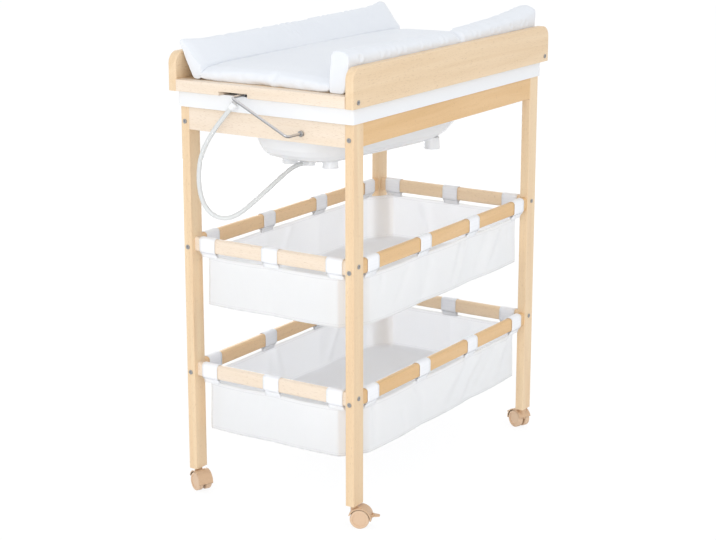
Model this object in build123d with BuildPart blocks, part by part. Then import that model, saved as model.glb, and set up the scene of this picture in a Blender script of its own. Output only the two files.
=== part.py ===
# Baby changing table with a bathtub: a wooden frame on four twin-wheel casters carries
# two hanging fabric baskets, a plastic tub whose rim caps the frame, and a changing tray
# with a pad. Two cranked steel stays swing the tray over the front long side.
# X runs along the length, Y along the depth with the front at -Y, and Z is up.
# The origin lies on the floor under the middle of the frame. Lengths are in millimetres.
import math
import os

from build123d import *

os.makedirs("parts", exist_ok=True)

# Frame
frame_length = 796.0
frame_depth = 440.0
caster_height = 50.0
leg_width = 38.0
leg_depth = 21.0
leg_length = 852.0
edge_round = 2.0
apron_height = 81.0
end_apron_thickness = 18.0
long_apron_thickness = 16.0
apron_recess = 1.0
rail_height = 32.0
rail_thickness = 16.0
rail_round = 6.0
upper_rail_level = 567.0
lower_rail_level = 282.0

# Screws
screw_shank = 6.0
screw_head = 10.0
screw_head_height = 2.4
screw_sink = 1.0
screw_bite = 28.0
screw_stagger = 5.5
screw_socket = 4.0
screw_socket_depth = 1.6
apron_screw_drop = 64.0

# Bathtub
rim_thickness = 3.0
rim_skirt_height = 34.0
rim_skirt_wall = 2.5
rim_over_length = 6.0
rim_over_depth = 3.0
rim_corner = 6.0
tub_depth = 147.0
tub_margin_length = 46.0
tub_margin_depth = 38.0
tub_wall = 3.0
tub_foot_diameter = 36.0
tub_foot_flare = 1.5
tub_foot_height = 18.0
tub_foot_drop = 8.0
# height, foot end, head end, foot half width, head half width, foot corner, head corner
tub_section_shares = (
    (0.0, 0.800, 0.370, 0.400, 0.660, 0.340, 0.480),
    (0.055, 0.872, 0.480, 0.470, 0.770, 0.400, 0.540),
    (0.120, 0.908, 0.545, 0.503, 0.812, 0.440, 0.563),
    (0.204, 0.934, 0.596, 0.530, 0.840, 0.470, 0.578),
    (0.320, 0.954, 0.662, 0.556, 0.876, 0.487, 0.592),
    (0.449, 0.968, 0.724, 0.590, 0.908, 0.500, 0.604),
    (0.700, 0.985, 0.850, 0.740, 0.955, 0.505, 0.560),
    (1.0, 1.0, 1.0, 1.0, 1.0, 0.495, 0.495),
)
# places of the four feet, as shares of half the mouth
tub_foot_shares = ((-0.660, -0.290), (-0.660, 0.290), (0.236, -0.648), (0.236, 0.648))

# Drain and hose
drain_share = -0.668
drain_bore = 18.0
drain_flange = 34.0
drain_flange_thickness = 2.5
drain_body = 26.0
drain_body_height = 17.0
nozzle_diameter = 12.0
nozzle_reach = 30.8
nozzle_drop = 9.0
plug_diameter = 30.0
plug_thickness = 5.0
plug_knob = 12.0
plug_knob_height = 9.0
hose_diameter = 10.0
hose_clearance = 0.2
clip_wall = 2.5
clip_length = 14.0
clip_share = 0.75
clip_stand = 12.60
clip_drop = 19.34
clip_setback = 68.44
# the hose hangs from the outlet, under the end apron and up to the clip on the rim
hose_route = (
    (-266.0, 0.0, 746.0),
    (-298.0, 0.0, 746.0),
    (-346.0, 13.0, 717.0),
    (-392.0, 40.0, 677.0),
    (-414.0, 57.0, 657.0),
    (-428.0, 79.0, 646.0),
    (-438.0, 105.0, 650.0),
    (-444.0, 125.0, 669.0),
    (-446.0, 136.0, 699.0),
    (-446.0, 139.0, 738.0),
    (-443.0, 133.0, 782.0),
    (-435.0, 112.0, 825.0),
    (-425.0, 86.0, 862.0),
    (-414.0, 63.0, 893.0),
)

# Baskets
strap_width_long = 45.0
strap_width_end = 41.0
strap_leg_gap_long = 40.5
strap_leg_gap_end = 34.0
strap_thickness = 1.6
strap_clearance = 0.3
strap_drop = 12.0
strap_lap = 14.0
basket_wall = 2.0
basket_depth = 137.0
basket_sag = 13.0
# height, scale of the outline, bulge of a bay, bulge of a corner, each of the basket depth
basket_section_shares = (
    (1.0, 1.0, 0.012, 0.015),
    (0.55, 1.0, 0.050, 0.040),
    (0.0, 1.0, 0.030, 0.110),
)
basket_floor_share = 0.84
basket_floor_bulge_share = 0.012

# Changing tray
tray_clearance = 0.3
tray_over_length = 23.0
tray_over_depth = 14.0
board_thickness = 20.0
board_height = 83.0
board_corner = 26.0
board_edge_round = 3.5
end_rail_width = 38.0
end_rail_height = 25.0
panel_thickness = 6.0
panel_groove = 5.0
panel_rebate = 12.0
notch_length = 74.0
notch_height = 9.0
notch_offset = 18.0
tray_screw_bite = 34.0

# Changing pad
pad_end_inset = 21.0
pad_clearance = 0.3
pad_bolster_height = 84.0
pad_flat_thickness = 24.0
pad_crown = 7.0
pad_far_base_inset = 33.0
pad_far_crease_inset = 50.0
pad_far_overhang = 9.0
pad_far_elbow_inset = 2.0
pad_far_elbow_height = 56.0
pad_near_base_inset = 18.0
pad_near_crease_inset = 54.0
pad_near_top_inset = 3.0
pad_top_round = 11.0
# place along the length, far bolster height, near bolster height, flat thickness
pad_station_shares = (
    (-1.0, 0.93, 0.95, 0.88),
    (-0.965, 1.0, 1.04, 1.0),
    (-0.35, 1.01, 1.03, 1.05),
    (0.10, 1.0, 0.97, 1.05),
    (0.60, 1.03, 1.04, 1.05),
    (0.965, 1.07, 1.20, 1.0),
    (1.0, 0.99, 1.12, 0.88),
)

# Stays
stay_rod = 6.0
stay_pivot_inset = 127.0
stay_pivot_drop = 61.0
stay_hook_inset = 174.0
stay_hook_rise = 4.7
stay_reach = 52.0
stay_bend = 9.0
stay_end_clearance = 8.0
shaft_clearance = 0.05
bush_sleeve = 10.0
bush_flange = 12.5
bush_flange_thickness = 7.0
cap_diameter = 14.0
cap_thickness = 4.0
saddle_wall = 1.2
saddle_width = 12.0
saddle_length = 46.0

# Casters
wheel_diameter = 42.0
wheel_width = 13.7
wheel_edge = 2.5
wheel_dish = 30.0
wheel_dish_depth = 1.2
caster_web = 6.0
wheel_gap = 0.3
hood_gap = 1.3
hood_wall = 2.8
hood_tilt = 12.0
hood_rise = 2.5
web_boss = 26.0
caster_trail = 13.0
axle_diameter = 6.0
wheel_hub_wall = 2.0
axle_end_gap = 1.2
neck_diameter = 17.0
neck_sink = 10.0
stem_diameter = 8.0
stem_length = 35.0
socket_wall = 1.5
socket_length = 37.0
socket_flange = 18.0
socket_flange_thickness = 1.2
swivel_clearance = 0.3
lever_width = 15.0
lever_tip_width = 7.0
lever_length = 14.0
lever_thickness = 3.0
lever_neck = 8.0
lever_pivot = 2.6
lever_barrel = 5.4
lever_rise = 6.0
lever_ear = 2.4
lever_clearance = 0.4
lever_tip_round_share = 0.3
# directions in which the wheels trail, in degrees from +X
caster_angles = {
    "front_left": -66.0,
    "back_left": -116.0,
    "front_right": 67.0,
    "back_right": 70.0,
}
lever_casters = ("front_left", "front_right")

overrun = 2.0

# Places worked out from the sizes
half_length = frame_length / 2
half_depth = frame_depth / 2
leg_x = half_length - leg_width / 2
leg_y = half_depth - leg_depth / 2
frame_top = caster_height + leg_length
apron_bottom = frame_top - apron_height
rim_top = frame_top + rim_thickness
rim_half_length = half_length + rim_over_length
rim_half_depth = half_depth + rim_over_depth
tub_bottom = frame_top - tub_depth
tub_mouth_length = frame_length - 2 * tub_margin_length
tub_mouth_width = frame_depth - 2 * tub_margin_depth
tray_bottom = rim_top + tray_clearance
tray_half_length = half_length + tray_over_length
tray_half_depth = half_depth + tray_over_depth
board_inner = tray_half_depth - board_thickness
rail_top = tray_bottom + end_rail_height
panel_bottom = rail_top - panel_thickness
pad_bottom = rail_top + pad_clearance
pad_length = 2 * (tray_half_length - pad_end_inset)
pad_far_base = board_inner - pad_far_base_inset
pad_far_crease = board_inner - pad_far_crease_inset
pad_far_top = board_inner + pad_far_overhang
pad_far_elbow = board_inner - pad_far_elbow_inset
pad_near_base = board_inner - pad_near_base_inset
pad_near_crease = board_inner - pad_near_crease_inset
pad_near_top = board_inner - pad_near_top_inset
stay_pivot_y = -half_depth + stay_pivot_inset
stay_pivot_level = frame_top - stay_pivot_drop
stay_hook_y = half_depth - stay_hook_inset
stay_hook_level = tray_bottom + stay_hook_rise
apron_screw_level = frame_top - apron_screw_drop
corner_places = {
    "front_left": (-1, -1),
    "front_right": (1, -1),
    "back_left": (-1, 1),
    "back_right": (1, 1),
}


def save(builder, label):
    """Name a finished piece and write it as one file."""
    builder.part.label = label
    export_step(builder.part, "parts/" + label + ".step")


def span(x0, x1, y0, y1, z0, z1, mode=Mode.ADD):
    """A block between two opposite corners."""
    with Locations(((x0 + x1) / 2, (y0 + y1) / 2, (z0 + z1) / 2)):
        Box(abs(x1 - x0), abs(y1 - y0), abs(z1 - z0), mode=mode)


def rod(start, direction, diameter, length, mode=Mode.ADD):
    """A round bar that starts at a point and runs along a direction."""
    with Locations(Plane(origin=start, z_dir=direction)):
        Cylinder(diameter / 2, length, align=(Align.CENTER, Align.CENTER, Align.MIN), mode=mode)


# Legs, with the holes for the screws and the caster sockets
socket_outer = stem_diameter + 2 * shaft_clearance + 2 * socket_wall
level_pairs = (upper_rail_level, lower_rail_level)
length_screw_levels = (apron_screw_level,) + tuple(level - screw_stagger for level in level_pairs)
depth_screw_levels = tuple(level + screw_stagger for level in level_pairs)
for place, (sx, sy) in corner_places.items():
    with BuildPart() as leg:
        with Locations((sx * leg_x, sy * leg_y, caster_height)):
            Box(leg_width, leg_depth, leg_length, align=(Align.CENTER, Align.CENTER, Align.MIN))
        fillet(leg.edges().filter_by(Axis.Z), edge_round)
        for level in length_screw_levels:
            face_point = (sx * half_length, sy * leg_y, level)
            rod(face_point, (-sx, 0, 0), screw_shank, leg_width, Mode.SUBTRACT)
            rod(face_point, (-sx, 0, 0), screw_head, screw_sink, Mode.SUBTRACT)
        for level in depth_screw_levels:
            face_point = (sx * leg_x, sy * half_depth, level)
            rod(face_point, (0, -sy, 0), screw_shank, leg_depth, Mode.SUBTRACT)
            rod(face_point, (0, -sy, 0), screw_head, screw_sink, Mode.SUBTRACT)
        rod((sx * leg_x, sy * leg_y, caster_height), (0, 0, 1), socket_outer, socket_length, Mode.SUBTRACT)
    save(leg, "leg_" + place)

# End aprons between the legs, bored for the bushes of the stays
bush_places = ((-1, "left"), (1, "right"))
for sx, place in bush_places:
    face = half_length - apron_recess
    with BuildPart() as end_apron:
        span(sx * face, sx * (face - end_apron_thickness), -half_depth + leg_depth, half_depth - leg_depth,
             apron_bottom, frame_top)
        fillet(end_apron.edges().filter_by(Axis.Y), edge_round / 2)
        rod((sx * (face + overrun), stay_pivot_y, stay_pivot_level), (-sx, 0, 0), bush_sleeve,
            end_apron_thickness + 2 * overrun, Mode.SUBTRACT)
    save(end_apron, "end_apron_" + place)

# Long aprons between the legs, bored for their screws
for sy, place in ((-1, "front"), (1, "back")):
    face = half_depth - apron_recess
    with BuildPart() as long_apron:
        span(-half_length + leg_width, half_length - leg_width, sy * face, sy * (face - long_apron_thickness),
             apron_bottom, frame_top)
        fillet(long_apron.edges().filter_by(Axis.X), edge_round / 2)
        for sx in (-1, 1):
            rod((sx * (half_length - leg_width), sy * leg_y, apron_screw_level), (-sx, 0, 0), screw_shank,
                screw_bite, Mode.SUBTRACT)
    save(long_apron, "long_apron_" + place)

# Basket rails: rounded bars between the legs at two levels
for level, storey in ((upper_rail_level, "upper"), (lower_rail_level, "lower")):
    for sy, place in ((-1, "front"), (1, "back")):
        rail_start = -half_length + leg_width
        with BuildPart() as long_rail:
            with BuildSketch(Plane(origin=(rail_start, sy * leg_y, level), x_dir=(0, 1, 0), z_dir=(1, 0, 0))):
                RectangleRounded(rail_thickness, rail_height, rail_round)
            extrude(amount=-2 * rail_start)
            for sx in (-1, 1):
                rod((sx * -rail_start, sy * leg_y, level - screw_stagger), (-sx, 0, 0), screw_shank,
                    screw_bite, Mode.SUBTRACT)
        save(long_rail, storey + "_rail_" + place)
    for sx, place in ((-1, "left"), (1, "right")):
        rail_start = half_depth - leg_depth
        with BuildPart() as end_rail:
            with BuildSketch(Plane(origin=(sx * leg_x, rail_start, level), x_dir=(1, 0, 0), z_dir=(0, -1, 0))):
                RectangleRounded(rail_thickness, rail_height, rail_round)
            extrude(amount=2 * rail_start)
            for sy in (-1, 1):
                rod((sx * leg_x, sy * rail_start, level + screw_stagger), (0, -sy, 0), screw_shank,
                    screw_bite, Mode.SUBTRACT)
        save(end_rail, storey + "_rail_" + place)


def screw(point, direction, through):
    """A socket-head screw: the head is sunk a little, the shank goes through and bites."""
    inward = Vector(*direction)
    seat = Vector(*point) + inward * screw_sink
    with Locations(Plane(origin=seat - inward * screw_head_height, z_dir=direction)):
        Cylinder(screw_head / 2, screw_head_height, align=(Align.CENTER, Align.CENTER, Align.MIN))
        Cylinder(screw_socket / 2, screw_socket_depth, align=(Align.CENTER, Align.CENTER, Align.MIN),
                 mode=Mode.SUBTRACT)
    rod(seat, direction, screw_shank, through + screw_bite - screw_sink)


# Frame screws on the leg faces
with BuildPart() as frame_screws:
    for sx, sy in corner_places.values():
        for level in length_screw_levels:
            screw((sx * half_length, sy * leg_y, level), (-sx, 0, 0), leg_width)
        for level in depth_screw_levels:
            screw((sx * leg_x, sy * half_depth, level), (0, -sy, 0), leg_depth)
save(frame_screws, "frame_screws")


def tub_loop(shares, inset):
    """One level of the tub: narrow at the foot end, wide at the head end."""
    height, foot, head, foot_width, head_width, foot_corner, head_corner = shares
    half_mouth = tub_mouth_length / 2
    half_width = tub_mouth_width / 2
    x0 = -foot * half_mouth + inset
    x1 = head * half_mouth - inset
    y0 = foot_width * half_width - inset
    y1 = head_width * half_width - inset
    r0 = foot_corner * half_width - inset
    r1 = head_corner * half_width - inset
    level = tub_bottom + height * tub_depth + (inset if height == 0 else 0)
    with BuildSketch(Plane.XY.offset(level)) as loop:
        with BuildLine():
            FilletPolyline((x0, -y0), (x1, -y1), (x1, y1), (x0, y0), radius=[r0, r1, r1, r0], close=True)
        make_face()
    return loop.sketch


# Bathtub: body, feet, flat rim and hanging skirt in one moulding
drain_x = drain_share * tub_mouth_length / 2
with BuildPart() as bathtub:
    loft([tub_loop(shares, 0) for shares in tub_section_shares], ruled=True)
    for foot_x, foot_y in tub_foot_shares:
        foot_base = tub_bottom - tub_foot_height
        with Locations((foot_x * tub_mouth_length / 2, foot_y * tub_mouth_width / 2, foot_base)):
            Cone(tub_foot_diameter / 2, tub_foot_diameter / 2 - tub_foot_flare, tub_foot_height + tub_foot_drop,
                 align=(Align.CENTER, Align.CENTER, Align.MIN))
    with BuildSketch(Plane.XY.offset(frame_top)):
        RectangleRounded(2 * rim_half_length, 2 * rim_half_depth, rim_corner)
    extrude(amount=rim_thickness)
    with BuildSketch(Plane.XY.offset(frame_top)):
        RectangleRounded(2 * rim_half_length, 2 * rim_half_depth, rim_corner)
        RectangleRounded(2 * (rim_half_length - rim_skirt_wall), 2 * (rim_half_depth - rim_skirt_wall),
                         rim_corner - rim_skirt_wall, mode=Mode.SUBTRACT)
    extrude(amount=-(rim_skirt_height - rim_thickness))
    loft([tub_loop(shares, tub_wall) for shares in tub_section_shares], ruled=True, mode=Mode.SUBTRACT)
    with BuildSketch(Plane.XY.offset(frame_top)):
        add(tub_loop(tub_section_shares[-1], tub_wall))
    extrude(amount=rim_thickness + overrun, mode=Mode.SUBTRACT)
    rod((drain_x, 0, tub_bottom - overrun), (0, 0, 1), drain_bore, tub_wall + 2 * overrun, Mode.SUBTRACT)
save(bathtub, "bathtub")

# Drain fitting: a flange on the tub floor and an elbow with its nozzle below
tub_floor = tub_bottom + tub_wall
with BuildPart() as drain_fitting:
    rod((drain_x, 0, tub_bottom - drain_body_height), (0, 0, 1), drain_body, drain_body_height)
    rod((drain_x, 0, tub_bottom), (0, 0, 1), drain_bore, tub_wall)
    rod((drain_x, 0, tub_floor), (0, 0, 1), drain_flange, drain_flange_thickness)
    rod((drain_x, 0, tub_bottom - nozzle_drop), (-1, 0, 0), nozzle_diameter, nozzle_reach)
    rod((drain_x, 0, tub_bottom - drain_body_height / 2), (0, 0, 1), drain_bore - 2 * drain_flange_thickness,
        drain_body_height, Mode.SUBTRACT)
save(drain_fitting, "drain_fitting")

# Drain plug with a pull knob
plug_seat = tub_floor + drain_flange_thickness
with BuildPart() as drain_plug:
    rod((drain_x, 0, plug_seat), (0, 0, 1), plug_diameter, plug_thickness)
    fillet(drain_plug.edges().group_by(Axis.Z)[-1], edge_round / 2)
    rod((drain_x, 0, plug_seat + plug_thickness), (0, 0, 1), plug_knob, plug_knob_height)
    fillet(drain_plug.edges().group_by(Axis.Z)[-1], edge_round)
save(drain_plug, "drain_plug")

# Drain hose: straight runs joined by tangent arcs
hose_points = [Vector(*point) for point in hose_route]
hose_radii = []
for before, corner, after in zip(hose_points, hose_points[1:], hose_points[2:]):
    turn = (corner - before).get_angle(after - corner)
    run = min((corner - before).length, (after - corner).length)
    hose_radii.append(0.45 * run / math.tan(math.radians(turn / 2)))
with BuildPart() as drain_hose:
    with BuildLine() as hose_path:
        FilletPolyline(*hose_points, radius=hose_radii)
    with BuildSketch(Plane(origin=hose_points[0], z_dir=hose_points[1] - hose_points[0])):
        Circle(hose_diameter / 2)
    sweep(path=hose_path.wire())
save(drain_hose, "drain_hose")
hose_length = hose_path.wire().length
print("hose radii", [round(radius, 1) for radius in hose_radii])
print("hose length", round(hose_length, 1), "volume share",
      round(drain_hose.part.volume / (math.pi * hose_diameter ** 2 / 4 * hose_length), 4))

# Clip on the rim skirt that holds the end of the hose
hose_end_way = (hose_points[-1] - hose_points[-2]).normalized()
clip_middle = Vector(-rim_half_length - clip_stand, clip_setback, rim_top - clip_drop)
clip_start = clip_middle - hose_end_way * (clip_length / 2)
with BuildPart() as hose_clip:
    rod(clip_start, hose_end_way, hose_diameter + 2 * clip_wall, clip_length)
    with Locations((-rim_half_length, clip_middle.Y, clip_middle.Z)):
        Box(-rim_half_length - clip_middle.X, clip_length * clip_share, clip_length,
            align=(Align.MAX, Align.CENTER, Align.CENTER))
    rod(clip_start - hose_end_way * (clip_length / 2), hose_end_way, hose_diameter + 2 * hose_clearance,
        2 * clip_length, Mode.SUBTRACT)
    span(-rim_half_length, 0, -half_depth, half_depth, 0, 2 * rim_top, Mode.SUBTRACT)
save(hose_clip, "hose_clip")

# Hanging baskets
basket_half_x = leg_x
basket_half_y = leg_y
strap_pitch_long = 2 * (half_length - leg_width - strap_leg_gap_long) / 3
strap_pitch_end = half_depth - leg_depth - strap_leg_gap_end
long_nodes = [(index - 1.5) * strap_pitch_long for index in range(4)]
end_nodes = [(index - 1) * strap_pitch_end for index in range(3)]


def basket_face(level, scale, bay, corner, inset):
    """One level of a basket: bays between the straps and cut corners, all bulging outward."""
    across = basket_half_x * scale - inset
    along = basket_half_y * scale - inset
    long_side = [value * scale for value in long_nodes]
    end_side = [value * scale for value in end_nodes]
    loop = [(x, -along, bay) for x in long_side]
    loop += [(across, y, bay) for y in end_side]
    loop += [(x, along, bay) for x in reversed(long_side)]
    loop += [(-across, y, bay) for y in reversed(end_side)]
    with BuildSketch(Plane.XY.offset(level)) as face:
        with BuildLine():
            for start, end in zip(loop, loop[1:] + loop[:1]):
                middle = Vector((start[0] + end[0]) / 2, (start[1] + end[1]) / 2)
                chord = Vector(end[0] - start[0], end[1] - start[1])
                outward = Vector(chord.Y, -chord.X).normalized()
                is_corner = start[0] != end[0] and start[1] != end[1]
                bulge = corner if is_corner else bay
                ThreePointArc(start[:2], middle + outward * bulge, end[:2])
        make_face()
    return face.sketch


def basket_sections(rail_level, inset):
    """The levels of a basket from its top edge down to the sagging floor."""
    top = rail_level - rail_height / 2 - strap_drop
    bottom = rail_level - basket_depth
    faces = []
    for height, scale, bay, corner in basket_section_shares:
        level = bottom + height * (top - bottom) + (inset if height == 0 else 0)
        faces.append(basket_face(level, scale, bay * basket_depth, corner * basket_depth, inset))
    bulge = basket_floor_bulge_share * basket_depth
    faces.append(basket_face(bottom - basket_sag + inset, basket_floor_share, bulge, bulge, inset))
    return faces


loop_width = rail_thickness + 2 * strap_clearance
loop_height = rail_height + 2 * strap_clearance
loop_round = rail_round + strap_clearance


def strap_profile(side, centre, level):
    """A strap loop round a rail with its tail down to the cloth, as a flat profile."""
    with Locations((side * centre, level)):
        RectangleRounded(loop_width + 2 * strap_thickness, loop_height + 2 * strap_thickness,
                         loop_round + strap_thickness)
    tail_top = level - loop_height / 2 - strap_thickness / 2
    tail_bottom = level - rail_height / 2 - strap_drop - strap_lap
    with Locations((side * centre, (tail_top + tail_bottom) / 2)):
        Rectangle(2 * strap_thickness, tail_top - tail_bottom)
    with Locations((side * centre, level)):
        RectangleRounded(loop_width, loop_height, loop_round, mode=Mode.SUBTRACT)


for level, storey in ((upper_rail_level, "upper"), (lower_rail_level, "lower")):
    with BuildPart() as basket:
        loft(basket_sections(level, 0), ruled=True)
        loft(basket_sections(level, basket_wall), ruled=True, mode=Mode.SUBTRACT)
        for x in long_nodes:
            start = Plane(origin=(x - strap_width_long / 2, 0, 0), x_dir=(0, 1, 0), z_dir=(1, 0, 0))
            with BuildSketch(start):
                for side in (-1, 1):
                    strap_profile(side, leg_y, level)
            extrude(amount=strap_width_long)
        for y in end_nodes:
            start = Plane(origin=(0, y + strap_width_end / 2, 0), x_dir=(1, 0, 0), z_dir=(0, -1, 0))
            with BuildSketch(start):
                for side in (-1, 1):
                    strap_profile(side, leg_x, level)
            extrude(amount=strap_width_end)
    save(basket, storey + "_basket")

# Side boards of the changing tray, grooved for the panel
for sy, place in ((-1, "front"), (1, "back")):
    with BuildPart() as side_board:
        with BuildSketch(Plane(origin=(0, sy * board_inner, tray_bottom), x_dir=(sy, 0, 0), z_dir=(0, -sy, 0))):
            with Locations((0, board_height / 2)):
                Rectangle(2 * tray_half_length, board_height)
        extrude(amount=-board_thickness)
        upright = side_board.edges().filter_by(Axis.Y).group_by(Axis.Z)[-1]
        fillet(upright, board_corner)
        rims = side_board.faces().filter_by(Axis.Y).edges().filter_by_position(
            Axis.Z, tray_bottom + edge_round, tray_bottom + board_height + edge_round)
        fillet(rims, board_edge_round)
        span(-tray_half_length + end_rail_width - panel_rebate, tray_half_length - end_rail_width + panel_rebate,
             sy * board_inner, sy * (board_inner + panel_groove), panel_bottom, rail_top, Mode.SUBTRACT)
        for sx in (-1, 1):
            screw_x = sx * (tray_half_length - end_rail_width / 2)
            screw_level = tray_bottom + end_rail_height / 2
            rod((screw_x, sy * tray_half_depth, screw_level), (0, -sy, 0), screw_shank, board_thickness,
                Mode.SUBTRACT)
            rod((screw_x, sy * tray_half_depth, screw_level), (0, -sy, 0), screw_head, screw_sink,
                Mode.SUBTRACT)
    save(side_board, "side_board_" + place)

# End rails of the changing tray, with a rebate for the panel and a notch for the stay
notch_y = stay_hook_y + notch_offset
for sx, place in ((-1, "left"), (1, "right")):
    outer = sx * tray_half_length
    inner = sx * (tray_half_length - end_rail_width)
    with BuildPart() as tray_end:
        span(outer, inner, -board_inner, board_inner, tray_bottom, rail_top)
        fillet(tray_end.edges().filter_by(Axis.Y), edge_round)
        span(inner, inner + sx * panel_rebate, -board_inner, board_inner, panel_bottom, rail_top + overrun,
             Mode.SUBTRACT)
        span(outer + sx * overrun, inner - sx * overrun, notch_y - notch_length / 2, notch_y + notch_length / 2,
             tray_bottom - overrun, tray_bottom + notch_height, Mode.SUBTRACT)
        for sy in (-1, 1):
            rod((outer - sx * end_rail_width / 2, sy * board_inner, tray_bottom + end_rail_height / 2),
                (0, -sy, 0), screw_shank, tray_screw_bite, Mode.SUBTRACT)
    save(tray_end, "tray_end_" + place)

# Panel under the pad
panel_half_length = tray_half_length - end_rail_width + panel_rebate
with BuildPart() as tray_panel:
    span(-panel_half_length, panel_half_length, -board_inner - panel_groove, board_inner + panel_groove,
         panel_bottom, rail_top)
save(tray_panel, "tray_panel")

# Screws through the side boards into the end rails of the tray
with BuildPart() as tray_screws:
    for sx, sy in corner_places.values():
        point = (sx * (tray_half_length - end_rail_width / 2), sy * tray_half_depth,
                 tray_bottom + end_rail_height / 2)
        inward = Vector(0, -sy, 0)
        seat = Vector(*point) + inward * screw_sink
        with Locations(Plane(origin=seat - inward * screw_head_height, z_dir=inward)):
            Cylinder(screw_head / 2, screw_head_height, align=(Align.CENTER, Align.CENTER, Align.MIN))
            Cylinder(screw_socket / 2, screw_socket_depth, align=(Align.CENTER, Align.CENTER, Align.MIN),
                     mode=Mode.SUBTRACT)
        rod(seat, inward, screw_shank, board_thickness - screw_sink + tray_screw_bite)
save(tray_screws, "tray_screws")


def pad_face(shares):
    """One cross-section of the pad: a crowned flat between two raised side bolsters."""
    along, far_share, near_share, flat_share = shares
    far_height = pad_bolster_height * far_share
    near_height = pad_bolster_height * near_share
    flat = pad_flat_thickness * flat_share
    far_shoulder = far_height - pad_top_round
    near_shoulder = near_height - pad_top_round
    origin = (along * pad_length / 2, 0, pad_bottom)
    with BuildSketch(Plane(origin=origin, x_dir=(0, 1, 0), z_dir=(1, 0, 0))) as face:
        with BuildLine():
            Line((-pad_near_base, 0), (pad_far_base, 0))
            Line((pad_far_base, 0), (pad_far_elbow, pad_far_elbow_height))
            Line((pad_far_elbow, pad_far_elbow_height), (pad_far_top, far_shoulder))
            ThreePointArc((pad_far_top, far_shoulder), (pad_far_top - pad_top_round / 3, far_height),
                          (pad_far_top - pad_top_round * 1.5, far_height - pad_top_round / 4))
            Line((pad_far_top - pad_top_round * 1.5, far_height - pad_top_round / 4), (pad_far_crease, flat))
            ThreePointArc((pad_far_crease, flat), ((pad_far_crease - pad_near_crease) / 2, flat + pad_crown),
                          (-pad_near_crease, flat))
            Line((-pad_near_crease, flat), (-pad_near_crease, near_shoulder))
            ThreePointArc((-pad_near_crease, near_shoulder),
                          (-(pad_near_crease + pad_near_top) / 2, near_height), (-pad_near_top, near_shoulder))
            Line((-pad_near_top, near_shoulder), (-pad_near_base, 0))
        make_face()
    return face.sketch


# Changing pad
with BuildPart() as changing_pad:
    loft([pad_face(shares) for shares in pad_station_shares], ruled=True)
save(changing_pad, "changing_pad")

# Cranked stay rods and the caps that hold them in the end aprons
apron_inner = half_length - apron_recess - end_apron_thickness
stay_inner_end = apron_inner - swivel_clearance - cap_thickness
stay_plane = half_length + stay_reach
stay_tip = tray_half_length - end_rail_width / 2 - saddle_width / 2 - stay_end_clearance / 2
for sx, place in ((-1, "left"), (1, "right")):
    route = [
        Vector(sx * stay_inner_end, stay_pivot_y, stay_pivot_level),
        Vector(sx * stay_plane, stay_pivot_y, stay_pivot_level),
        Vector(sx * stay_plane, stay_hook_y, stay_hook_level),
        Vector(sx * stay_tip, stay_hook_y, stay_hook_level),
    ]
    with BuildPart() as stay:
        with BuildLine() as stay_path:
            FilletPolyline(*route, radius=stay_bend)
        with BuildSketch(Plane(origin=route[0], z_dir=(sx, 0, 0))):
            Circle(stay_rod / 2)
        sweep(path=stay_path.wire())
    save(stay, "stay_rod_" + place)

with BuildPart() as stay_caps:
    for sx in (-1, 1):
        rod((sx * (apron_inner - swivel_clearance), stay_pivot_y, stay_pivot_level), (-sx, 0, 0),
            cap_diameter, cap_thickness)
        rod((sx * (apron_inner + overrun), stay_pivot_y, stay_pivot_level), (-sx, 0, 0), stay_rod,
            cap_thickness + 2 * overrun, Mode.SUBTRACT)
save(stay_caps, "stay_caps")

# Bushes in the end aprons: the flange shows as the grey knob round the rod
apron_outer = half_length - apron_recess
with BuildPart() as pivot_bushes:
    for sx in (-1, 1):
        rod((sx * (apron_outer + bush_flange_thickness), stay_pivot_y, stay_pivot_level), (-sx, 0, 0),
            bush_flange, bush_flange_thickness)
    fillet(pivot_bushes.edges(), edge_round / 2)
    for sx in (-1, 1):
        rod((sx * apron_outer, stay_pivot_y, stay_pivot_level), (-sx, 0, 0), bush_sleeve, end_apron_thickness)
        rod((sx * (apron_outer + bush_flange_thickness + overrun), stay_pivot_y, stay_pivot_level), (-sx, 0, 0),
            stay_rod + 2 * shaft_clearance, bush_flange_thickness + end_apron_thickness + 2 * overrun,
            Mode.SUBTRACT)
save(pivot_bushes, "pivot_bushes")

# Saddles in the notches of the tray: each holds the hooked end of a stay
saddle_outer = stay_rod + 2 * shaft_clearance + 2 * saddle_wall
notch_roof = tray_bottom + notch_height
saddle_x = tray_half_length - end_rail_width / 2
with BuildPart() as stay_saddles:
    for sx in (-1, 1):
        rod((sx * (saddle_x + saddle_width / 2), stay_hook_y, stay_hook_level), (-sx, 0, 0), saddle_outer,
            saddle_width)
        span(sx * (saddle_x + saddle_width / 2), sx * (saddle_x - saddle_width / 2),
             stay_hook_y - saddle_length / 3, stay_hook_y + saddle_length * 2 / 3,
             notch_roof - saddle_wall, notch_roof)
        rod((sx * (saddle_x + saddle_width / 2 + overrun), stay_hook_y, stay_hook_level), (-sx, 0, 0),
            stay_rod + 2 * shaft_clearance, saddle_width + 2 * overrun, Mode.SUBTRACT)
save(stay_saddles, "stay_saddles")

# Sockets in the leg ends for the caster stems
with BuildPart() as caster_sockets:
    for sx, sy in corner_places.values():
        foot = (sx * leg_x, sy * leg_y, caster_height)
        rod(foot, (0, 0, 1), socket_outer, socket_length)
        rod(foot, (0, 0, -1), socket_flange, socket_flange_thickness)
        rod((sx * leg_x, sy * leg_y, caster_height - socket_flange_thickness - overrun), (0, 0, 1),
            stem_diameter + 2 * shaft_clearance, socket_length + socket_flange_thickness + 2 * overrun,
            Mode.SUBTRACT)
save(caster_sockets, "caster_sockets")

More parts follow.
